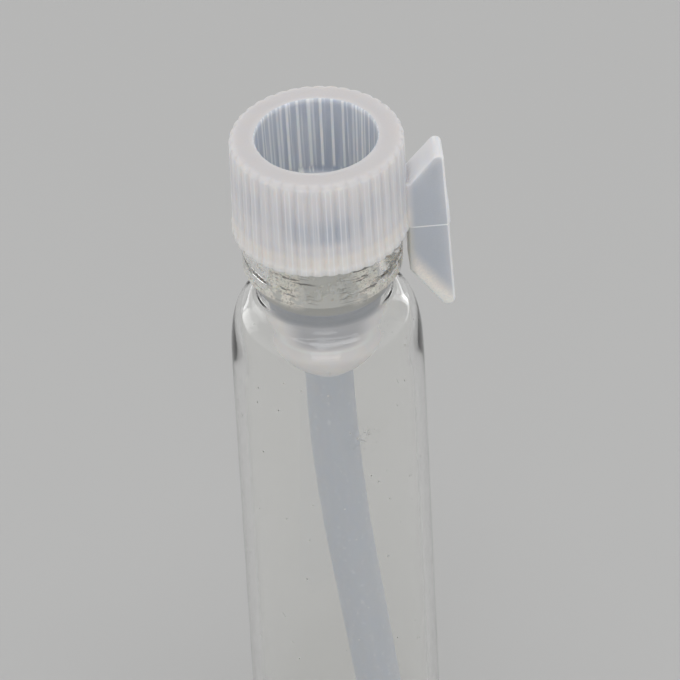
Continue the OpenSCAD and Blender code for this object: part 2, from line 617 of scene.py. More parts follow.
@dataclass(frozen=True)
class HeadTone:
    """The head's side and top.

    The band over the slab is the lightest. Painted shade darkens the thin wall above it, where
    the hollow shows through, and a streaky patch in the middle of the side, and gives the top and
    the rim a darker tone. Painted highlights draw two light lines on each rib and a light line
    round the rim's edge. Here and in the classes below, a span's name says what the span is
    counted from.
    """

    top: Colour = tint(0.82, 0.81, 0.81)
    slab: Colour = tint(0.925, 0.91, 0.895)
    slab_over_floor: Span = (0.25, -0.25)
    thin_over_floor: Span = (0.9, 1.9)
    thin_under_top: Span = (-0.8, -1.8)
    thin_streaks: Span = (0.35, 0.65)
    thin_even: float = 0.15
    thin_streaky: float = 0.35
    rim_under_top: Span = (-0.3, -0.1)
    middle_across: Span = (2.4, 1.0)
    middle_over_floor: Span = (0.4, 1.1)
    middle_end_over_floor: Span = (2.6, 1.5)
    middle_streaks: Span = (0.4, 0.6)
    middle_even: float = 0.3
    middle_streaky: float = 0.5
    line_place: float = 0.18
    line_width: Span = (0.07, 0.02)
    line_under_top: Span = (-0.2, -0.4)
    line_streaks: Span = (0.3, 0.6)
    line_share: float = 0.55
    crest_under_top: Span = (-0.35, -0.2)
    crest_share: float = 0.15

    def paint(self, nodes: Nodes, tone: Colour, at: Surface, stopper: "Stopper") -> Value:
        """Colour of the head's side and top.

        Args:
            nodes: The node tree.
            tone: The colour of the thick wall.
            at: The place on the stopper.
            stopper: The stopper, for its head's heights and ribs.

        Returns:
            The colour.
        """
        head = stopper.head
        tone = nodes.blend(at.z.step(self.slab_over_floor, head.floor), tone, self.slab)
        # Painted shade on the thin wall, where the hollow shows through.
        thin = at.z.step(self.thin_over_floor, head.floor)
        thin = thin * at.z.step(self.thin_under_top, head.top)
        uneven = at.streak.step(self.thin_streaks) * self.thin_streaky + self.thin_even
        tone = nodes.blend(thin * uneven, tone, HOLLOW_SHADE_AND_CLOUD)
        # Painted shade: the top and the rim take a darker tone.
        tone = nodes.blend(at.z.step(self.rim_under_top, head.top), tone, self.top)
        # Painted shade: a streaky, darker patch in the middle of the side.
        middle = abs(at.x).step(self.middle_across) * at.z.step(self.middle_over_floor, head.floor)
        middle = middle * at.z.step(self.middle_end_over_floor, head.floor)
        uneven = at.streak.step(self.middle_streaks) * self.middle_streaky + self.middle_even
        tone = nodes.blend(middle * uneven, tone, SHADE)
        # Painted highlights: two light lines on each rib and a light line round the rim's edge.
        pitch = 2 * math.pi / head.ribs
        spread = at.turn * (1 / pitch) + (0.5 - math.radians(head.rib_turn) / pitch)
        from_crest = abs(spread.maths("FRACT") - 0.5)
        lines = abs(from_crest - self.line_place).step(self.line_width)
        lines = lines * at.z.step(self.line_under_top, head.top)
        crest = at.square.step((head.rim**2, head.crest**2))
        crest = crest * at.z.step(self.crest_under_top, head.top)
        lines = lines * at.streak.step(self.line_streaks) * self.line_share
        return nodes.blend(lines.maths("MAXIMUM", crest * self.crest_share), tone, LINE)


@dataclass(frozen=True)
class RecessTone:
    """Recess wall in bluish painted shade, darker at the mouth, with painted light lines in pairs.
    """

    wall: Colour = tint(0.83, 0.845, 0.87)
    line: Colour = tint(0.98, 0.985, 0.98)
    lines: int = 33
    out_to: Span = (0.06, 0.02)
    out_from: Span = (-0.4, -0.2)
    over_floor: Span = (-0.05, 0.02)
    strength: Grain = Grain(1.0, 1.0, span=(0.25, 0.7))
    strength_pull: float = 1.9
    strength_seed: float = 3.0
    first_width: Span = (0.16, 0.08)
    first_even: float = 0.45
    first_uneven: float = 0.55
    second_place: float = 0.38
    second_width: Span = (0.13, 0.06)
    second_streaks: Span = (0.42, 0.6)
    second_share: float = 0.7
    lines_over_floor: Span = (0.1, 0.35)
    mouth_over_floor: float = 1.6
    mouth_under_top: float = 0.2
    mouth_shade: float = 1.3
    mouth_fade: float = 0.35
    corner_streaks: Span = (0.5, 0.56)
    corner_over_floor: Span = (0.3, 0.15)
    corner_share: float = 0.8
    dark_streaks: Span = (0.55, 0.4)
    dark_share: float = 0.6
    light_streaks: Span = (0.5, 0.7)
    light_share: float = 0.4

    def paint(self, nodes: Nodes, tone: Value, at: Surface, stopper: "Stopper") -> Value:
        """Adds the recess's wall.

        Args:
            nodes: The node tree.
            tone: The colour without it.
            at: The place on the stopper.
            stopper: The stopper, for the recess's size.

        Returns:
            The colour with it.
        """
        head = stopper.head
        # Painted shade: the recess's wall takes a darker, bluish tone.
        wall = at.out.step(self.out_to, head.recess_radius)
        wall = wall * at.z.step(self.over_floor, head.floor)
        tone = nodes.blend(wall, tone, self.wall)
        wall = wall * at.out.step(self.out_from, head.recess_radius)
        # Painted light: light lines in pairs up the wall, fainter at the mouth.
        spread = at.turn * (self.lines / (2 * math.pi))
        along = nodes.vector(at.turn * self.strength_pull, 0.0, self.strength_seed)
        first = abs(spread.maths("FRACT") - 0.5).step(self.first_width)
        first = first * (nodes.mask(along, self.strength) * self.first_uneven + self.first_even)
        second = abs((spread + self.second_place).maths("FRACT") - 0.5).step(self.second_width)
        second = second * at.streak.step(self.second_streaks)
        mouth = at.z.step((head.floor + self.mouth_over_floor, head.top - self.mouth_under_top))
        lines = first.maths("MAXIMUM", second * self.second_share) * wall
        lines = lines * at.z.step(self.lines_over_floor, head.floor)
        lines = lines * (1.0 - mouth * self.mouth_fade)
        # Painted light: light streaks near the foot of the wall.
        corner = at.streak.step(self.corner_streaks) * wall
        corner = corner * at.z.step(self.corner_over_floor, head.floor)
        # Painted shade: dark streaks, and a darker mouth.
        dark = at.streak.step(self.dark_streaks).maths("MAXIMUM", mouth * self.mouth_shade)
        tone = nodes.blend(dark * wall * self.dark_share, tone, SHADE)
        # Painted light: light streaks over the wall.
        light = at.streak.step(self.light_streaks) * wall * self.light_share
        tone = nodes.blend(light, tone, self.line)
        return nodes.blend(lines.maths("MAXIMUM", corner * self.corner_share), tone, self.line)


@dataclass(frozen=True)
class PlugTone:
    """The plug; its taper and the bulb's core in painted shade; a light line round the bulb."""

    land: Colour = tint(0.82, 0.82, 0.805)
    band: Colour = tint(0.70, 0.70, 0.685)
    bulb: Colour = tint(0.95, 0.94, 0.945)
    taper: Colour = tint(0.66, 0.675, 0.71)
    under_head: Span = (0.02, -0.02)
    band_over_land: Span = (0.75, 0.65)
    bulb_over_land: Span = (-0.5, -0.9)
    taper_over_land: Span = (-1.1, -0.6)
    taper_end_over_land: Span = (0.2, 0.0)
    taper_share: float = 0.9
    line_over_bulb: float = 0.25
    core_across: Span = (2.3, 1.1)
    core_over_line: Span = (0.0, 0.4)
    core_over_land: Span = (-0.6, -1.1)
    core_share: float = 0.7
    line_width: Span = (0.12, 0.03)
    line_share: float = 0.8

    def paint(self, nodes: Nodes, tone: Value, at: Surface, stopper: "Stopper") -> Value:
        """Adds the plug and the bulb.

        Args:
            nodes: The node tree.
            tone: The colour without them.
            at: The place on the stopper.
            stopper: The stopper, for the plug's heights.

        Returns:
            The colour with them.
        """
        land = stopper.plug.land_z
        line_z = stopper.plug.bulb_z + self.line_over_bulb
        tone = nodes.blend(at.z.step(self.under_head, stopper.head.low), tone, self.land)
        tone = nodes.blend(at.z.step(self.band_over_land, land), tone, self.band)
        tone = nodes.blend(at.z.step(self.bulb_over_land, land), tone, self.bulb)
        # Painted shade on the taper under the plug.
        taper = at.z.step(self.taper_over_land, land) * at.z.step(self.taper_end_over_land, land)
        tone = nodes.blend(taper * self.taper_share, tone, self.taper)
        # Painted shade: a darker core across the middle of the bulb, whose sides stay light.
        core = abs(at.x).step(self.core_across) * at.z.step(self.core_over_line, line_z)
        core = core * at.z.step(self.core_over_land, land)
        tone = nodes.blend(core * self.core_share, tone, self.taper)
        return nodes.blend(abs(at.z - line_z).step(self.line_width) * self.line_share, tone, LINE)


@dataclass(frozen=True)
class PaintedContact:
    """The plug's contact with the glass, painted on both sides of the plug where it is pressed on
    the glass: stippled patches of painted light and streaks of painted shade.
    """

    stipple: Colour = tint(0.80, 0.775, 0.745)
    pale: Colour = tint(1.0, 0.98, 0.94)
    dark: Colour = tint(0.34, 0.33, 0.31)
    inside_bore: Span = (0.2, 0.1)
    under_head: Span = (-0.1, -0.4)
    patch: Grain = Grain(1.4, 2.0, span=(0.36, 0.46))
    patch_across: Span = (0.9, 1.6)
    patch_over_land: Span = (0.2, 0.7)
    patch_share: float = 0.95
    pale_spots: Grain = Grain(9.0, 3.0, 0.7, (0.38, 0.48))
    dark_spots: Grain = Grain(8.0, 3.0, 0.75, (0.60, 0.64))
    dark_share: float = 0.6
    streaks: Grain = Grain(1.0, 3.0, 0.6, (0.53, 0.61))
    streak_pull: Point = (1.7, 5.4)
    streak_slant: float = 0.8
    streak_seed: float = 1.0
    streak_across: Span = (0.3, 0.9)
    streak_over_land: Span = (0.6, 1.3)
    streak_share: float = 0.85

    def paint(self, nodes: Nodes, tone: Value, at: Surface, stopper: "Stopper") -> Value:
        """Adds the patches and the streaks.

        Args:
            nodes: The node tree.
            tone: The colour without them.
            at: The place on the stopper.
            stopper: The stopper, for the plug's heights.

        Returns:
            The colour with them.
        """
        plug, across = stopper.plug, abs(at.x)
        inside = at.square.step(tuple((plug.bore_radius + edge) ** 2 for edge in self.inside_bore))
        below_head = at.z.step(self.under_head, plug.top) * inside
        where = across.step(self.patch_across) * at.z.step(self.patch_over_land, plug.land_z)
        # Painted light: pale, stippled patches where the plug touches the glass.
        patch = nodes.mask(at.point, self.patch) * (where * below_head)
        spots = nodes.blend(nodes.mask(at.point, self.pale_spots), self.stipple, self.pale)
        tone = nodes.blend(patch * self.patch_share, tone, spots)
        # Painted shade: dark spots in those patches.
        dark = patch * nodes.mask(at.point, self.dark_spots) * self.dark_share
        tone = nodes.blend(dark, tone, self.dark)
        # Painted shade: dark slanting streaks in the thin gaps between plug and glass.
        height = at.z * self.streak_pull[1] + at.turn * self.streak_slant
        drawn = nodes.vector(at.turn * self.streak_pull[0], height, self.streak_seed)
        streaks = nodes.mask(drawn, self.streaks) * across.step(self.streak_across) * below_head
        streaks = streaks * at.z.step(self.streak_over_land, plug.land_z)
        return nodes.blend(streaks * self.streak_share, tone, self.dark)


@dataclass(frozen=True)
class RodTone:
    """The bluish rod with its pale scuffs."""

    rod: Colour = tint(0.79, 0.81, 0.845)
    scuff: Grain = Grain(4.0, 4.0, 0.75, (0.58, 0.68))
    scuff_share: float = 0.35
    under_bulb: Span = (0.0, -0.15)

    def paint(self, nodes: Nodes, tone: Value, at: Surface, stopper: "Stopper") -> Value:
        """Adds the rod.

        Args:
            nodes: The node tree.
            tone: The colour without it.
            at: The place on the stopper.
            stopper: The stopper, for the height at which the rod starts.

        Returns:
            The colour with it.
        """
        rod = nodes.blend(nodes.mask(at.point, self.scuff) * self.scuff_share, self.rod, LINE)
        return nodes.blend(at.z.step(self.under_bulb, stopper.plug.rod_z), tone, rod)


@dataclass(frozen=True)
class WingTone:
    """The thin wing: painted light on its upper faces, painted highlights on its edges and parting
    line, and a light, warm lower tip.
    """

    wing: Colour = tint(0.765, 0.785, 0.815)
    warm: Colour = tint(1.0, 0.965, 0.93)
    out_from: Span = (-0.03, 0.35)
    outer_rim: Span = (-0.13, -0.08)
    inner_rim: Span = (0.12, 0.07)
    rim_highlight_share: float = 0.8
    parting_width: Span = (0.05, 0.02)
    parting_highlight_share: float = 0.9
    tip: Span = (1.1, 0.15)
    stipple: Grain = Grain(9.0, 3.0, 0.7)
    stipple_even: float = 0.35
    stipple_uneven: float = 1.3
    facing_up: Span = (0.25, 0.6)
    uplight_share: float = 0.8

    def paint(self, nodes: Nodes, tone: Value, at: Surface, stopper: "Stopper") -> Value:
        """Adds the wing.

        Args:
            nodes: The node tree.
            tone: The colour without it.
            at: The place on the stopper.
            stopper: The stopper, for the places of the wing and the head.

        Returns:
            The colour with it.
        """
        wing, head = stopper.wing, stopper.head
        above = wing.above_lower_slope(at.x, at.z)
        # Painted highlights along the outer edge, the lower slope's edge and the inner edge.
        rim = (at.x + at.z * wing.lean).step(self.outer_rim, wing.reach + head.low * wing.lean)
        rim = rim.maths("MAXIMUM", above.step(self.inner_rim))
        rim = rim.maths("MAXIMUM", at.x.step(self.inner_rim, wing.inner))
        uneven = nodes.noise(at.point, self.stipple) * self.stipple_uneven + self.stipple_even
        skin = nodes.blend(above.step(self.tip) * uneven, self.wing, self.warm)
        skin = nodes.blend(rim * self.rim_highlight_share, skin, LINE)
        # Painted highlight along the parting line.
        parting = abs(at.z - head.low).step(self.parting_width)
        skin = nodes.blend(parting * self.parting_highlight_share, skin, LINE)
        # Painted light on the faces that look upward.
        up = nodes.parts(nodes.add("ShaderNodeNewGeometry", output="Normal"))[2]
        skin = nodes.blend(up.step(self.facing_up) * self.uplight_share, skin, EDGE)
        return nodes.blend(at.out.step(self.out_from, head.radius), tone, skin)


@dataclass(frozen=True)
class MilkyPlastic:
    """Natural polyethylene: whitish where thick, bluish where thin, with fine drawn lines in its
    relief, and painted light and shade in its tones.
    """

    thick: Colour = tint(0.885, 0.88, 0.885)
    places: Sequence[HeadTone | RecessTone | PlugTone | PaintedContact | RodTone | WingTone] = (
        HeadTone(), RecessTone(), PlugTone(), PaintedContact(), RodTone(), WingTone())
    streaks: Grain = Grain(1.0, 3.0, 0.65)
    streak_pull: Point = (9.0, 0.06)
    cloud: Grain = Grain(0.9, span=(0.35, 0.75))
    fine: Grain = Grain(16.0, span=(0.35, 0.8))
    mottle_share: float = 0.12
    depth: float = 1.0 * MM
    depth_by_colour: Colour = (1.15, 1.0, 0.85)
    rough: float = 0.42
    rough_cloud: float = 0.14
    ior: float = 1.51
    streak_relief: float = 0.4
    fine_relief: float = 0.6
    bump_strength: float = 0.2
    bump_depth: float = 0.02 * MM

    def make(self, stopper: "Stopper") -> bpy.types.Material:
        """Builds the material.

        Args:
            stopper: The stopper that it covers, for the places at which its tone changes.

        Returns:
            The material.
        """
        nodes = Nodes(bpy.data.materials.new("milky_plastic"))
        at = Surface.of(nodes, self.streaks, self.streak_pull)
        tone = self.thick
        for place in self.places:
            tone = place.paint(nodes, tone, at, stopper)
        cloud, fine = nodes.noise(at.point, self.cloud), nodes.noise(at.point, self.fine)
        tone = nodes.blend(fine.step(self.fine.span) * self.mottle_share, tone, EDGE)
        tone = nodes.blend(cloud.step(self.cloud.span) * self.mottle_share, tone, HOLLOW_SHADE_AND_CLOUD)
        relief = at.streak * self.streak_relief + fine * self.fine_relief
        plastic = nodes.add("ShaderNodeBsdfPrincipled", sockets={
            "Base Color": tone,
            "Subsurface Weight": 1.0,
            "Subsurface Radius": self.depth_by_colour,
            "Subsurface Scale": self.depth,
            "Roughness": cloud * self.rough_cloud + self.rough,
            "IOR": self.ior,
            "Normal": nodes.bump(relief, self.bump_strength, self.bump_depth),
        })
        return nodes.finish(plastic)


@dataclass
class GlassVial:
    """The glass: a closed tube with a shoulder, a neck and a lip. Sizes in millimetres."""

    low: Vector
    high: Vector
    wall: float = 0.57
    floor: float = 0.85
    base_round: float = 1.3
    floor_round: float = 0.9
    bore_radius: float = 2.85
    neck_wall: float = 0.55
    lip_proud: float = 0.55
    lip_height: float = 2.32
    lip_top_round: float = 0.3
    lip_under_round: float = 0.25
    mouth_round: float = 0.2
    neck_fillet: float = 0.3
    neck_height: float = 1.5
    shoulder_height: float = 3.9
    outer_shape: Sequence[Point] = (
        (0, 0), (0, 0.5), (0.22, 0.79), (0.7, 0.86), (0.9, 0.89), (1, 0.94), (1, 1))
    inner_shape: Sequence[Point] = (
        (0, 0.1), (0, 0.52), (0.14, 0.65), (0.5, 0.73), (0.75, 0.78), (1, 0.86), (1, 0.975))
    ripple: float = 0.02
    ripple_scale: float = 1.6
    ripple_rise: float = 0.9
    ripple_below: float = 0.15
    ripple_ease: float = 2.0
    sides: int = 256
    finish: ClearGlass = field(default_factory=ClearGlass)

    @property
    def top(self) -> float:
        """Height of the lip's top."""
        return self.high.z

    @property
    def radius(self) -> float:
        """Outside radius of the tube."""
        return self.high.x

    @property
    def hollow_radius(self) -> float:
        """Inside radius of the tube."""
        return self.radius - self.wall

    @property
    def neck_radius(self) -> float:
        """Outside radius of the neck."""
        return self.bore_radius + self.neck_wall

    @property
    def lip_radius(self) -> float:
        """Outside radius of the lip."""
        return self.neck_radius + self.lip_proud

    @property
    def lip_z(self) -> float:
        """Height of the lip's underside."""
        return self.top - self.lip_height

    @property
    def shoulder_z(self) -> float:
        """Height at which the shoulder starts."""
        return self.lip_z - self.neck_height - self.shoulder_height

    def shoulder(self, shape: Sequence[Point], tube: float, neck: float) -> list[Point]:
        """Two joined curves from the tube up to the neck.

        Args:
            shape: Pull points as shares of the step in radius and of the shoulder's height.
            tube: Radius at the tube.
            neck: Radius at the neck.

        Returns:
            The curve's points.
        """
        at = [(tube + (neck - tube) * u, self.shoulder_z + self.shoulder_height * v)
              for u, v in shape]
        return [at[0], *cubic(at[0:4], steps=18), *cubic(at[3:7], steps=12)]

    def outside(self) -> list[Point]:
        """Outside of the glass from the middle of its underside up to the lip.

        Returns:
            The profile, without the mouth.
        """
        base, lip = self.base_round, self.lip_radius
        foot = arc(self.radius - base, base, base, -90, 0, steps=12)
        return [
            (0, 0), *line((0, 0), foot[0], steps=6), *foot[1:],
            *line(foot[-1], (self.radius, self.shoulder_z), steps=24)[:-1],
            *self.shoulder(self.outer_shape, self.radius, self.neck_radius),
            *arc(self.neck_radius + self.neck_fillet, self.lip_z - self.neck_fillet,
                 self.neck_fillet, 180, 90, steps=8),
            *arc(lip - self.lip_under_round, self.lip_z + self.lip_under_round,
                 self.lip_under_round, -90, 0, steps=8)[1:],
            *arc(lip - self.lip_top_round, self.top - self.lip_top_round,
                 self.lip_top_round, 0, 90, steps=8),
        ]

    def inside(self) -> list[Point]:
        """Inside of the glass from the mouth down to the middle of the floor.

        Returns:
            The profile, which closes the outside.
        """
        corner, hollow = self.floor_round, self.hollow_radius
        neck = self.shoulder(self.inner_shape, hollow, self.bore_radius)[::-1]
        floor = arc(hollow - corner, self.floor + corner, corner, 0, -90, steps=10)
        return [
            *arc(self.bore_radius + self.mouth_round, self.top - self.mouth_round,
                 self.mouth_round, 90, 180, steps=8),
            *neck, *line(neck[-1], floor[0], steps=24), *floor[1:],
            *line(floor[-1], (0, self.floor), steps=6),
        ]

    def wavy(self, radius: float, turn: float, height: float) -> float:
        """Distance from the axis of the slightly uneven outside.

        Args:
            radius: Distance without the unevenness.
            turn: Angle round the axis.
            height: Height.

        Returns:
            The uneven distance, never more than the even one.
        """
        place = around(self.ripple_scale, turn, height * self.ripple_rise)
        reach = smooth(self.shoulder_z - self.ripple_ease,
                       self.shoulder_z + self.ripple_ease, height)
        dip = (noise.noise(place) * 0.5 + 0.5) * self.ripple
        return radius - dip * (self.ripple_below + (1 - self.ripple_below) * reach)

    def build(self) -> bpy.types.Object:
        """Builds the glass and puts it on its body.

        Returns:
            The object.
        """
        skin = Skin()
        skin.turned(self.outside(), self.sides, self.wavy)
        skin.turned(self.inside(), self.sides)
        made = placed("glass_vial", skin.mesh("glass_vial"))
        made.data.materials.append(self.finish.make())
        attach(made, Body.VIAL.value)
        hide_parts("vial")
        return made


@dataclass
class Head:
    """The stopper's ribbed head with the recess in its top. Sizes in millimetres."""

    low: float
    top: float
    radius: float
    ribs: int = 40
    rib_depth: float = 0.08
    rib_gap: float = 0.07
    rib_turn: float = 2.5
    rib_power: float = 2.6
    band: float = 0.3
    band_proud: float = 0.05
    band_slope: float = 0.12
    draft: float = 0.05
    rim_round: float = 0.3
    rim_margin: float = 0.05
    foot_round: float = 0.03
    recess_radius: float = 3.0
    recess_draft: float = 0.1
    recess_bevel: float = 0.05
    recess_round: float = 0.2
    slab: float = 1.1

    @property
    def floor(self) -> float:
        """Height of the recess's floor."""
        return self.low + self.slab

    @property
    def crest(self) -> float:
        """Radius over the ribs just above the foot's band."""
        return self.radius - self.band_proud

    @property
    def rim(self) -> float:
        """Radius at which the rim's rounding starts on the top."""
        return self.crest - self.draft - self.rim_round

    def ribbed(self, radius: float, turn: float, _height: float) -> float:
        """Distance from the axis of the ribbed side, or of the plain top inside the rim.

        Args:
            radius: Distance over the ribs' crests.
            turn: Angle round the axis.
            _height: Height, which makes no difference.

        Returns:
            The distance at that angle.
        """
        if radius < self.rim - self.rib_depth / 2:
            return radius
        pitch = 2 * math.pi / self.ribs
        lobe = 1 - self.rib_gap / (pitch * self.radius)
        offset = (turn - math.radians(self.rib_turn) + pitch / 2) % pitch / pitch * 2 - 1
        return radius - self.rib_depth * min(abs(offset / lobe) ** self.rib_power, 1.0)

    def recess(self) -> list[Point]:
        """From the middle of the recess's floor up its wall.

        Returns:
            The profile.
        """
        corner = self.recess_round
        floor = arc(self.recess_radius - self.recess_draft - corner, self.floor + corner,
                    corner, -90, 0, steps=6)
        wall_top = (self.recess_radius, self.top - self.recess_bevel)
        return [(0, self.floor), *line((0, self.floor), floor[0], steps=6), *floor[1:],
                *line(floor[-1], wall_top, steps=16)]

    def outside(self) -> list[Point]:
        """From the recess's edge over the rim and down the ribs to the foot.

        Returns:
            The profile.
        """
        edge = (self.recess_radius + self.recess_bevel, self.top)
        flat = (self.rim - self.rib_depth - self.rim_margin, self.top)
        rim = arc(self.rim, self.top - self.rim_round, self.rim_round, 90, 0, steps=10)
        waist = (self.crest, self.low + self.band + self.band_slope)
        band = (self.radius, self.low + self.band)
        foot = arc(self.radius - self.foot_round, self.low + self.foot_round,
                   self.foot_round, 0, -90, steps=3)
        return [edge, *line(edge, flat, steps=3), *rim, *line(rim[-1], waist, steps=18),
                *line(waist, band, steps=2), *line(band, foot[0], steps=3), *foot[1:]]


@dataclass
class Plug:
    """The plug in the neck and the bulb under it. Sizes in millimetres."""

    top: float
    bulb_z: float
    radius: float
    bulb_radius: float
    bore_radius: float
    rod_radius: float
    land_z: float
    taper: float = 0.6
    neck_round: float = 0.08
    fillet: float = 0.12
    seal: float = 1.0
    seal_edge: float = 0.15
    press: float = 0.02
    press_scale: float = 2.4
    press_rise: float = 1.3
    press_wide: float = 0.8
    press_fine: Sequence[Point] = ((4.2, 0.7), (9.7, 0.5))
    press_edge: Span = (-0.05, 0.12)
    press_more: float = 0.12
    press_less_above: float = 0.4
    press_over_land: Span = (-0.1, 0.05)
    press_under_top: Span = (-0.25, -0.45)
    patchy_under_top: float = 0.3

    @property
    def rod_z(self) -> float:
        """Height at which the fillet under the bulb ends on the rod."""
        reach, across = self.bulb_radius + self.fillet, self.rod_radius + self.fillet
        return self.bulb_z - math.sqrt(reach**2 - across**2)

    def pressed(self, radius: float, turn: float, height: float) -> float:
        """Distance from the axis where the plug is pressed against the glass in patches.

        Near its lower end it touches all round, and above that in crackled, slanting patches.

        Args:
            radius: Distance of the free plug.
            turn: Angle round the axis.
            height: Height.

        Returns:
            The distance, a little past the bore's where it touches.
        """
        place = around(self.press_scale, turn, height * self.press_rise + math.sin(2 * turn))
        wide = noise.noise(place) * self.press_wide
        fine = sum(noise.noise(place * scale) * share for scale, share in self.press_fine)
        seal_z = self.land_z + self.seal
        rise = smooth(seal_z, self.top - self.patchy_under_top, height)
        patchy = smooth(*self.press_edge,
                        wide + fine + self.press_more - self.press_less_above * rise)
        full = smooth(seal_z + self.seal_edge, seal_z, height)
        low_end = smooth(*(self.land_z + edge for edge in self.press_over_land), height)
        high_end = smooth(*(self.top + edge for edge in self.press_under_top), height)
        touch = max(patchy, full) * (low_end * high_end)
        return radius + (self.bore_radius + self.press - radius) * touch

    @property
    def taper_top(self) -> Point:
        """Where the plug's wall ends and its taper starts."""
        return self.radius, self.land_z + self.press_over_land[0]

    def land(self) -> list[Point]:
        """From the head's underside down the plug to the taper.

        Returns:
            The profile.
        """
        start = (self.radius, self.top - self.neck_round)
        return [(self.radius + self.neck_round, self.top), start,
                *line(start, self.taper_top, steps=64)]

    def bulb(self) -> list[Point]:
        """The taper, the bulb and the fillet on the rod.

        Returns:
            The profile.
        """
        taper_z = self.land_z - self.taper
        drop = self.bulb_z - self.rod_z
        across = self.rod_radius + self.fillet
        turn = math.degrees(math.atan2(drop, across))
        return [
            *line(self.taper_top, (self.bulb_radius, taper_z), steps=5),
            *line((self.bulb_radius, taper_z), (self.bulb_radius, self.bulb_z), steps=10),
            *arc(0, self.bulb_z, self.bulb_radius, 0, -turn, steps=26)[1:],
            *arc(across, self.rod_z, self.fillet, 180 - turn, 180, steps=4)[1:],
        ]


@dataclass
class Rod:
    """The dipping rod, which leans, bends and runs straight to its tip. Sizes in millimetres."""

    top: float
    tip_z: float
    reach: float
    radius: float
    tip_radius: float = 1.14
    bend_radius: float = 120.0
    bend_height: float = 12.0
    tip_round: float = 0.8
    tip_turn: float = 85.0
    waver: float = 0.015
    waver_scale: float = 0.8
    waver_along: float = 0.9
    waver_ease: float = 1.5
    sides: int = 80
    rings: int = 90

    @cached_property
    def bend(self) -> float:
        """Angle of the bend."""
        return math.asin(self.bend_height / self.bend_radius)

    @cached_property
    def run(self) -> tuple[float, float]:
        """Length of the straight end and the lean that brings the tip to its reach.

        Returns:
            The length, and the lean in radians.
        """
        out = self.bend_radius * (1 - math.cos(self.bend))
        across = self.reach - self.tip_radius
        drop = self.top - self.tip_z - self.tip_round
        straight = math.sqrt(self.bend_height**2 - 2 * self.bend_radius * out
                             + across**2 + drop**2) - self.bend_height
        end_x = out + straight * math.sin(self.bend)
        end_z = self.bend_height + straight * math.cos(self.bend)
        return straight, math.atan2(across, drop) - math.atan2(end_x, end_z)

    def place(self, along: float) -> tuple[float, float, float]:
        """A point of the rod's middle line.

        Args:
            along: Length from the bend's top, below 0 inside the bulb.

        Returns:
            X, height, and the tilt of the line there in radians.
        """
        _, lean = self.run
        turn = min(max(along / self.bend_radius, 0.0), self.bend)
        rest = along - self.bend_radius * turn
        across = self.bend_radius * (1 - math.cos(turn)) + rest * math.sin(turn)
        down = self.bend_radius * math.sin(turn) + rest * math.cos(turn)
        x = across * math.cos(lean) + down * math.sin(lean)
        return x, self.top + across * math.sin(lean) - down * math.cos(lean), turn + lean

    def add_to(self, skin: Skin, start: float) -> None:
        """Adds the rod to a mesh.

        Args:
            skin: The mesh.
            start: Height of the last ring before the rod.
        """
        straight, _ = self.run
        length = self.bend_radius * self.bend + straight
        first = self.top - start
        for i in range(1, self.rings + 1):
            along = first + (length - first) * i / self.rings
            share = smooth(0, length, along)
            radius = self.radius + (self.tip_radius - self.radius) * share
            eased = smooth(first, first + self.waver_ease, along)
            self.ring(skin, along, radius, self.waver * eased)
        tip = arc(self.tip_radius - self.tip_round, 0, self.tip_round, 0, self.tip_turn, steps=8)
        for x, z in tip[1:]:
            self.ring(skin, length + z, x, self.waver)
        x, z, _ = self.place(length + self.tip_round)
        skin.ring([Vector((x, 0, z))])

    def ring(self, skin: Skin, along: float, radius: float, waver: float) -> None:
        """Adds one ring square to the rod.

        Args:
            skin: The mesh.
            along: Length from the bend's top.
            radius: Radius of the even rod.
            waver: How far the uneven rod may fall short of it.
        """
        x, z, tilt = self.place(along)
        ring = []
        for i in range(self.sides):
            turn = 2 * math.pi * i / self.sides
            lump = noise.noise(around(self.waver_scale, turn, along * self.waver_along))
            reach = radius - waver * (0.5 + 0.5 * lump)
            across = reach * math.cos(turn)
            ring.append(Vector((x + across * math.cos(tilt), reach * math.sin(turn),
                                z + across * math.sin(tilt))))
        skin.ring(ring)


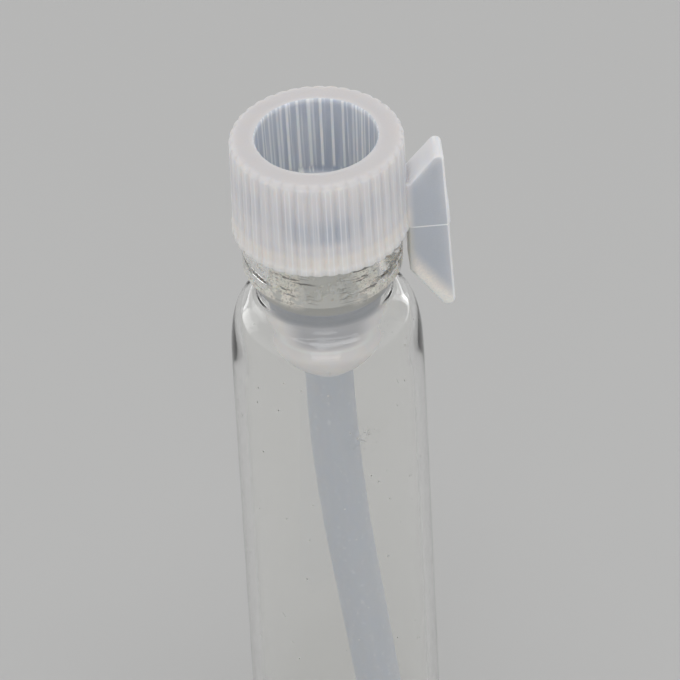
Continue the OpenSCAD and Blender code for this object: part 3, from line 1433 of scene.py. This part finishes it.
@dataclass
class Wing:
    """The wing, moulded in two halves that meet at the head's foot. Sizes in millimetres."""

    low: float
    head_radius: float
    inner: float
    thick: float = 2.0
    reach: float = 6.2
    lean: float = 0.033
    root: float = 0.5
    root_up: float = 2.55
    root_down: float = 2.7
    rise: float = 2.02
    fall: float = 3.15
    top_round: float = 0.3
    low_round: float = 0.35
    in_round: float = 0.15
    gate_height: float = 1.4
    gate_proud: float = 0.06
    gate_slope: float = 0.12
    draft: float = 0.03
    edge_round: float = 0.12

    def edge(self, height: float) -> float:
        """X of the outer edge at a height."""
        return self.reach + (self.low - height) * self.lean

    @property
    def low_tip(self) -> Point:
        """The lower tip before it is rounded."""
        height = self.low - self.root_down - self.fall
        return self.edge(height), height

    @property
    def low_root(self) -> Point:
        """The lower inside corner before it is rounded."""
        return self.inner, self.low - self.root_down

    def above_lower_slope(self, x: Value, z: Value) -> Value:
        """Distance of a place above the wing's lower slope.

        Args:
            x: The place's X.
            z: The place's height.

        Returns:
            The distance in millimetres.
        """
        along = (Vector(self.low_tip) - Vector(self.low_root)).normalized()
        return (x - self.low_root[0]) * -along.y + (z - self.low_root[1]) * along.x

    def outline(self) -> tuple[list[Point], list[Point]]:
        """The upper and the lower half as seen from the side.

        Returns:
            Both outlines. Each starts and ends on the parting line.
        """
        up_root = (self.head_radius, self.low + self.root_up)
        up_tip = (self.edge(up_root[1] + self.rise), up_root[1] + self.rise)
        gate = self.low + self.gate_height
        outer = (self.edge(self.low), self.low)
        inner = (self.inner, self.low)
        upper = [
            inner, (self.head_radius - self.root, self.low),
            (self.head_radius - self.root, up_root[1]), up_root,
            *rounded(up_root, up_tip, self.low_tip, self.top_round, steps=8),
            (self.edge(gate), gate), (self.edge(gate) + self.gate_proud, gate - self.gate_slope),
            (outer[0] + self.gate_proud, self.low + self.gate_slope), outer,
        ]
        lower = [
            outer, *rounded(up_tip, self.low_tip, self.low_root, self.low_round, steps=8),
            *rounded(self.low_tip, self.low_root, inner, self.in_round, steps=4), inner,
        ]
        return upper, lower

    def mesh(self) -> bpy.types.Mesh:
        """The wing with a draft away from the parting line and rounded edges.

        Returns:
            The mesh.
        """
        upper, lower = self.outline()
        loop = [*upper, *lower[1:-1]]
        work = bmesh.new()
        sides = []
        for sign in (-1, 1):
            points = [(x, sign * (self.thick / 2 - self.draft * abs(z - self.low)), z)
                      for x, z in loop]
            sides.append([work.verts.new(Vector(p) * MM) for p in points])
        for near in sides:
            work.faces.new(near[:len(upper)])
            work.faces.new([near[0], *near[len(upper) - 1:]])
        for i, _ in enumerate(loop):
            k = (i + 1) % len(loop)
            work.faces.new((sides[0][i], sides[0][k], sides[1][k], sides[1][i]))
        bmesh.ops.recalc_face_normals(work, faces=work.faces)
        parting = self.low * MM
        edges = [
            e for e in work.edges
            if e.verts[0].co.y * e.verts[1].co.y > 0
            and max(abs(v.co.z - parting) for v in e.verts) > LEVEL
        ]
        bmesh.ops.bevel(work, geom=edges, offset=self.edge_round * MM, segments=4, profile=0.5,
                        affect="EDGES", clamp_overlap=True)
        made = bpy.data.meshes.new("wing")
        work.to_mesh(made)
        work.free()
        return made


@dataclass
class Stopper:
    """The one-piece stopper: head, plug, bulb, dipping rod and wing. Sizes in millimetres."""

    vial: GlassVial
    low: Vector
    high: Vector
    overhang: float = 0.4
    seat_gap: float = 0.05
    plug_clearance: float = 0.05
    bulb_clearance: float = 0.18
    tip_clearance: float = 0.05
    wing_gap: float = 0.25
    land: float = 3.4
    bulb_depth: float = 6.1
    rod_radius: float = 1.22
    head_sides: int = 480
    round_sides: int = 160
    finish: MilkyPlastic = field(default_factory=MilkyPlastic)

    @cached_property
    def head(self) -> Head:
        """The head, over the lip."""
        return Head(low=self.vial.top + self.seat_gap, top=self.high.z,
                    radius=self.vial.lip_radius + self.overhang)

    @cached_property
    def plug(self) -> Plug:
        """The plug and the bulb, in the bore.

        Returns:
            The plug.
        """
        bore = self.vial.bore_radius
        return Plug(top=self.head.low, bulb_z=self.vial.top - self.bulb_depth,
                    radius=bore - self.plug_clearance, bulb_radius=bore - self.bulb_clearance,
                    bore_radius=bore, rod_radius=self.rod_radius,
                    land_z=self.vial.top - self.land)

    @cached_property
    def rod(self) -> Rod:
        """The rod, whose tip passes the bore."""
        return Rod(top=self.plug.bulb_z - self.plug.bulb_radius, tip_z=self.low.z,
                   reach=self.vial.bore_radius - self.tip_clearance, radius=self.rod_radius)

    @cached_property
    def wing(self) -> Wing:
        """The wing, beside the head and the lip."""
        return Wing(low=self.head.low, head_radius=self.head.radius,
                    inner=self.vial.lip_radius + self.wing_gap)

    def build(self) -> bpy.types.Object:
        """Builds the stopper and puts it on its body.

        Returns:
            The object.
        """
        skin = Skin()
        skin.turned(self.head.recess(), self.round_sides)
        skin.turned(self.head.outside(), self.head_sides, self.head.ribbed)
        skin.turned(self.plug.land(), self.head_sides, self.plug.pressed)
        skin.turned(self.plug.bulb(), self.round_sides)
        self.rod.add_to(skin, self.plug.rod_z)
        made = placed("stopper_moulding", skin.mesh("stopper_moulding"))
        self.join(made, self.wing.mesh())
        made.data.materials.append(self.finish.make(self))
        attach(made, Body.STOPPER.value)
        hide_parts("stopper")
        return made

    @staticmethod
    def join(made: bpy.types.Object, mesh: bpy.types.Mesh) -> None:
        """Unites another closed mesh with a piece.

        Args:
            made: The piece.
            mesh: The mesh.
        """
        other = placed("joined", mesh)
        union = made.modifiers.new("union", "BOOLEAN")
        union.operation, union.solver, union.object = "UNION", "EXACT", other
        graph = bpy.context.evaluated_depsgraph_get()
        whole = bpy.data.meshes.new_from_object(made.evaluated_get(graph))
        made.modifiers.clear()
        made.data = whole
        bpy.data.objects.remove(other)
        remove_slivers(whole)
        whole.materials.clear()
        whole.shade_smooth()
        whole.set_sharp_from_angle(angle=SHARP)


def rounded(before: Point, corner: Point, after: Point, radius: float,
            steps: int) -> list[Point]:
    """Points that round off a corner.

    Args:
        before: The point before the corner.
        corner: The corner.
        after: The point after the corner.
        radius: Radius of the rounding.
        steps: Number of chords.

    Returns:
        The rounding's points.
    """
    at = Vector(corner)
    to, fro = (Vector(before) - at).normalized(), (Vector(after) - at).normalized()
    half = to.angle(fro) / 2
    centre = at + (to + fro).normalized() * radius / math.sin(half)
    first = at + to * radius / math.tan(half) - centre
    last = at + fro * radius / math.tan(half) - centre
    start = math.atan2(first.y, first.x)
    sweep = math.atan2(first.x * last.y - first.y * last.x, first.dot(last))
    return arc(*centre, radius, math.degrees(start), math.degrees(start + sweep), steps)


@dataclass(frozen=True)
class Lamp:
    """A soft lamp: its place and size in metres and its power in watts."""

    name: str
    place: tuple[float, float, float]
    width: float
    height: float
    power: float


@dataclass
class Studio:
    """Pale floor, soft lamps and the camera. Places in metres, angles in degrees."""

    floor_radius: float = 1.5
    floor_sides: int = 64
    floor_tone: Colour = tint(0.765, 0.765, 0.76)
    floor_cloud: Colour = tint(0.68, 0.68, 0.68)
    floor_grain: Grain = Grain(9.0, 2.0)
    cloud_share: float = 0.05
    floor_rough: float = 0.9
    floor_gloss: float = 0.2
    horizon: Colour = tint(0.93, 0.93, 0.93)
    zenith: Colour = tint(0.70, 0.70, 0.705)
    zenith_from: Span = (0.1, 0.75)
    lamps: Sequence[Lamp] = (
        Lamp("left", (-0.44, 0.32, 0.14), 0.26, 0.34, 0.27),
        Lamp("right", (0.44, 0.32, 0.14), 0.26, 0.34, 0.25),
        Lamp("above", (0.02, -0.05, 0.60), 0.40, 0.40, 1.1),
        Lamp("front", (-0.06, -0.60, 0.30), 0.40, 0.30, 0.42),
    )
    aim: Vector = field(default_factory=lambda: Vector((0.6206, -0.0325, 27.754)) * MM)
    elevation: float = 38.0
    azimuth: float = -3.0
    roll: float = -3.087
    distance: float = 375.35 * MM
    lens: float = 403.33
    sensor: float = 36
    clip: Span = (0.01, 10)

    def build(self) -> None:
        """Builds the floor, the lamps, the world and the camera."""
        self.add_floor()
        self.add_world()
        for lamp in self.lamps:
            self.add_lamp(lamp)
        self.add_camera()

    def add_floor(self) -> None:
        """A wide pale floor."""
        skin = Skin()
        skin.turned([(0, 0), *line((0, 0), (self.floor_radius / MM, 0), steps=8)],
                    self.floor_sides)
        floor = placed("floor", skin.mesh("floor"))
        nodes = Nodes(bpy.data.materials.new("floor"))
        cloud = nodes.noise(nodes.add("ShaderNodeTexCoord", output="Object"), self.floor_grain)
        colour = nodes.blend(cloud * self.cloud_share, self.floor_tone, self.floor_cloud)
        matt = nodes.add("ShaderNodeBsdfPrincipled", sockets={
            "Base Color": colour,
            "Roughness": self.floor_rough,
            "Specular IOR Level": self.floor_gloss,
        })
        floor.data.materials.append(nodes.finish(matt))

    def add_world(self) -> None:
        """A pale world, lighter at the horizon than overhead."""
        nodes = Nodes(bpy.data.worlds.new("studio"))
        height = nodes.parts(nodes.add("ShaderNodeTexCoord", output="Generated"))[2]
        colour = nodes.blend(height.step(self.zenith_from), self.horizon, self.zenith)
        back = nodes.add("ShaderNodeBackground", sockets={"Color": colour, "Strength": 1.0})
        bpy.context.scene.world = nodes.finish(back)

    def add_lamp(self, lamp: Lamp) -> None:
        """Adds a soft lamp that faces the stopper.

        Args:
            lamp: The lamp.
        """
        light = bpy.data.lights.new(lamp.name, "AREA")
        light.shape, light.size, light.size_y = "RECTANGLE", lamp.width, lamp.height
        light.energy = lamp.power
        made = placed(lamp.name, light)
        made.location = lamp.place
        made.rotation_euler = (self.aim - made.location).to_track_quat("-Z", "Y").to_euler()

    def add_camera(self) -> None:
        """The camera, a little rolled."""
        turn, rise = math.radians(self.azimuth), math.radians(self.elevation)
        back = Vector((math.sin(turn) * math.cos(rise), -math.cos(turn) * math.cos(rise),
                       math.sin(rise)))
        right = Vector((0, 0, 1)).cross(back).normalized()
        up = back.cross(right)
        roll = math.radians(self.roll)
        across = right * math.cos(roll) + up * math.sin(roll)
        upward = up * math.cos(roll) - right * math.sin(roll)
        camera = bpy.data.cameras.new("camera")
        camera.lens, camera.sensor_width = self.lens, self.sensor
        camera.clip_start, camera.clip_end = self.clip
        made = placed("camera", camera)
        turned = Matrix((across, upward, back)).transposed().to_4x4()
        made.matrix_world = Matrix.Translation(self.aim + back * self.distance) @ turned
        bpy.context.scene.camera = made


def box(node: str) -> tuple[Vector, Vector]:
    """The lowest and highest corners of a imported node, in millimetres."""
    return tuple(Vector(corner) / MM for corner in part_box(node))


def main() -> None:
    """Builds the vial, the stopper and the studio."""
    logging.basicConfig(level=logging.INFO, format="%(name)s: %(message)s")
    bpy.context.scene.view_settings.view_transform = "Standard"
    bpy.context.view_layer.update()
    vial = GlassVial(*box("vial"))
    stopper = Stopper(vial, *box("stopper"))
    for piece in (vial.build(), stopper.build()):
        LOG.info("%s: %d faces", piece.name, len(piece.data.polygons))
    Studio().build()


if __name__ == "__main__":
    main()
